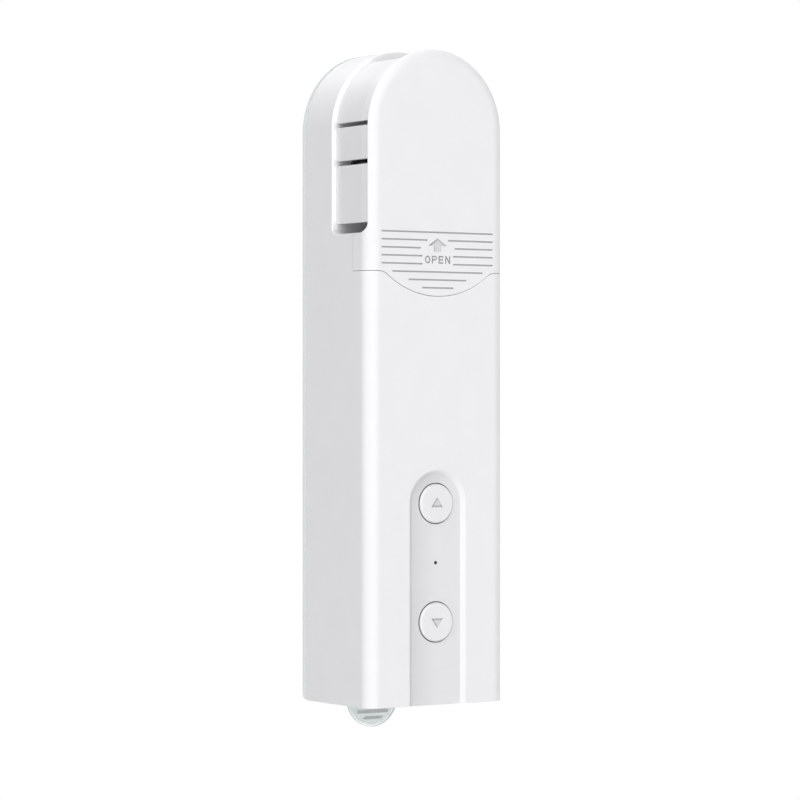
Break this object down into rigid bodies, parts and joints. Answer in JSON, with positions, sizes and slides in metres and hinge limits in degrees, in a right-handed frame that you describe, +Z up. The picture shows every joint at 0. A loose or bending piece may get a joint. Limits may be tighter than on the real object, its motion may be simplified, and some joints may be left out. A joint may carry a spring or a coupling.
{
  "type": "roller shade motor",
  "caption": "Bead-chain roller shade driver: slim arched housing, sliding top cover over its chain wheel, round buttons in a channel, and a clear wall plate with a release tab.",
  "frame": {"origin": "on the wall's face at the back of the foam pads, midway between the two wall screws", "axes": "+X across, +Y into the wall, +Z up towards the chain wheel"},
  "size_m": [0.044, 0.0334, 0.1831],
  "materials": {
    "white_shell": "fine satin moulding",
    "button_white": "satin",
    "clear_plastic": "clear moulding",
    "pad_foam": "closed-cell foam tape",
    "screw_steel": "zinc plated",
    "shaft_steel": "ground",
    "can_steel": "drawn, plated",
    "gear_steel": "sintered",
    "gear_acetal": "natural acetal",
    "brass": "machined",
    "bronze": "sintered bronze",
    "magnet": "sintered magnet",
    "winding": "laminations and enamelled wire",
    "board_green": "laminate with solder mask",
    "chip_black": "epoxy",
    "connector": "nylon",
    "shield_tin": "tinned can",
    "plunger_red": "moulded",
    "light_clear": "clear light guide",
    "lamp": "light source",
    "cell_wrap": "shrink film over a steel can",
    "nickel": "nickel strip",
    "frame_grey": "glass-filled nylon",
    "wheel_grey": "acetal",
    "lead_black": "insulated wire",
    "carbon": "carbon"
  },
  "bodies": {
    "wall_bracket": {"wall_plate": "clear_plastic", "adhesive_pads": "pad_foam"},
    "housing": {"battery_cell_left": "cell_wrap", "battery_cell_right": "cell_wrap", "battery_connector": "connector", "battery_cradle": "frame_grey", "battery_leads": "lead_black", "board_chips": "chip_black", "board_screws": "screw_steel", "cell_links": "nickel", "chain_guide": "frame_grey", "encoder_board": "board_green", "gear_pins": "shaft_steel", "gearbox_front_plate": "frame_grey", "gearbox_mount_screws": "screw_steel", "gearbox_rear_plate": "frame_grey", "gearbox_screws": "screw_steel", "guide_screws": "screw_steel", "hall_sensor": "chip_black", "light_pipe": "light_clear", "main_board": "board_green", "main_shell": "white_shell", "motor_brushes": "carbon", "motor_bush": "bronze", "motor_can": "can_steel", "motor_connector": "connector", "motor_end_cap": "frame_grey", "motor_leads": "lead_black", "motor_magnets": "magnet", "motor_screws": "screw_steel", "output_bushes": "bronze", "radio_module": "shield_tin", "rear_cover": "white_shell", "shell_screws": "screw_steel", "status_light": "lamp", "switch_bodies": "chip_black", "usb_socket": "shield_tin"},
    "latch": {"release_latch": "clear_plastic"},
    "cover": {"top_cover": "white_shell"},
    "up_button": {"up_button": "button_white", "up_switch_plunger": "plunger_red"},
    "down_button": {"down_button": "button_white", "down_switch_plunger": "plunger_red"},
    "chain_drive": {"chain_wheel": "wheel_grey", "wheel_screw": "screw_steel", "output_shaft": "shaft_steel", "output_gear": "gear_steel"},
    "stage_2": {"stage_2_gear": "gear_steel"},
    "stage_1": {"stage_1_gear": "gear_acetal"},
    "rotor": {"motor_rotor": "winding", "motor_pinion": "brass", "encoder_magnet": "magnet"}
  },
  "joints": [
    {"name": "housing_slide", "type": "slide", "parent": "wall_bracket", "child": "housing", "axis": [0, 0, 1], "range_m": [0, 0.005]},
    {"name": "release_latch_press", "type": "hinge", "parent": "wall_bracket", "child": "latch", "pos_m": [0, -0.0015, -0.073], "axis": [1, 0, 0], "range_deg": [0, 2.4], "stiffness_Nm_per_rad": 1},
    {"name": "cover_slide", "type": "slide", "parent": "housing", "child": "cover", "axis": [0, 0, 1], "range_m": [0, 0.068]},
    {"name": "up_button_press", "type": "slide", "parent": "housing", "child": "up_button", "axis": [0, 1, 0], "range_m": [0, 0.0003], "stiffness_N_per_m": 5300},
    {"name": "down_button_press", "type": "slide", "parent": "housing", "child": "down_button", "axis": [0, 1, 0], "range_m": [0, 0.0003], "stiffness_N_per_m": 5300},
    {"name": "output_spin", "type": "hinge", "parent": "housing", "child": "chain_drive", "pos_m": [0, -0.02395, 0.06375], "axis": [0, -1, 0], "continuous": true},
    {"name": "stage_2_spin", "type": "hinge", "parent": "housing", "child": "stage_2", "pos_m": [0, -0.00745, 0.04415], "axis": [0, -1, 0], "continuous": true},
    {"name": "stage_1_spin", "type": "hinge", "parent": "housing", "child": "stage_1", "pos_m": [0, -0.01045, 0.02495], "axis": [0, -1, 0], "continuous": true},
    {"name": "motor_spin", "type": "hinge", "parent": "housing", "child": "rotor", "pos_m": [0, -0.01845, 0.00795], "axis": [0, -1, 0], "continuous": true}
  ],
  "couplings": [
    {"joint": "stage_2_spin", "follows": "output_spin", "ratio": -3},
    {"joint": "stage_1_spin", "follows": "output_spin", "ratio": 10.714},
    {"joint": "motor_spin", "follows": "output_spin", "ratio": -50}
  ]
}
